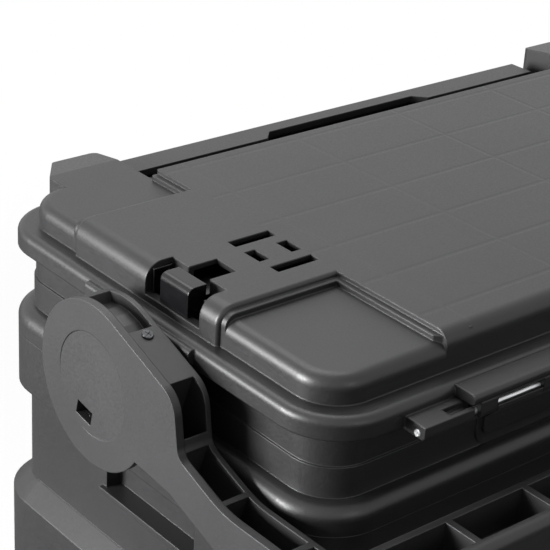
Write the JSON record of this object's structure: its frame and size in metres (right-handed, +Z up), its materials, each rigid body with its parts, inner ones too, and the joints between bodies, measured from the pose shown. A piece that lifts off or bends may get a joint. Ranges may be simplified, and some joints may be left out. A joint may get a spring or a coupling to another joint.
{
  "type": "fishing seat box",
  "caption": "Moulded storage box used as a seat, with a hinged lid, a wide pull latch, a swinging bail handle, push catches in the lid ends and lift-out trays",
  "frame": {"origin": "on the ground under the middle of the lid flange, at the centre of the middle foot", "axes": "+X along the box to the right end seen from the hinge side, +Y from the hinge side to the latch side, +Z up"},
  "size_m": [0.585, 0.3611, 0.36],
  "materials": {
    "moulded_shell": "satin, fine moulded grain",
    "moulded_handle": "satin, fine moulded grain",
    "inner_plastic": "satin",
    "catch_plastic": "glossy black",
    "rubber": "matt rubber",
    "steel": "bright drawn"
  },
  "bodies": {
    "box": {"lower_tub": "moulded_shell", "base_feet": "rubber", "upper_frame": "moulded_shell", "hinge_rod": "steel", "tray_bar": "inner_plastic", "tray_left": "inner_plastic", "tray_right": "inner_plastic", "tray_dividers_left": "inner_plastic", "tray_dividers_right": "inner_plastic", "latch_pin_left": "steel", "latch_pin_right": "steel", "handle_bolt_left": "steel", "handle_bolt_right": "steel", "handle_washer_left": "steel", "handle_washer_right": "steel", "handle_nut_left": "steel", "handle_nut_right": "steel"},
    "lid": {"lid_shell": "moulded_shell", "lid_liner": "inner_plastic", "lid_seal": "rubber", "liner_screws": "steel", "catch_guide_left": "catch_plastic", "catch_guide_right": "catch_plastic"},
    "latch": {"latch_flap": "moulded_shell"},
    "handle": {"handle_arm_left": "moulded_handle", "handle_arm_right": "moulded_handle", "handle_cover_left": "moulded_handle", "handle_cover_right": "moulded_handle", "handle_grip": "moulded_handle"},
    "catch_left": {"end_catch_left": "catch_plastic"},
    "catch_right": {"end_catch_right": "catch_plastic"}
  },
  "joints": [
    {"name": "lid_hinge", "type": "hinge", "parent": "box", "child": "lid", "pos_m": [0, -0.1503, 0.3281], "axis": [1, 0, 0], "range_deg": [0, 100]},
    {"name": "latch_hinge", "type": "hinge", "parent": "box", "child": "latch", "pos_m": [0, 0.1525, 0.292], "axis": [-1, 0, 0], "range_deg": [0, 60]},
    {"name": "handle_pivot", "type": "hinge", "parent": "box", "child": "handle", "pos_m": [0, 0.0053, 0.3033], "axis": [-1, 0, 0], "range_deg": [0, 217]},
    {"name": "end_catch_left_slide", "type": "slide", "parent": "lid", "child": "catch_left", "axis": [1, 0, 0], "range_m": [0, 0.004], "stiffness_N_per_m": 400, "springref_m": -0.004},
    {"name": "end_catch_right_slide", "type": "slide", "parent": "lid", "child": "catch_right", "axis": [-1, 0, 0], "range_m": [0, 0.004], "stiffness_N_per_m": 400, "springref_m": -0.004}
  ]
}
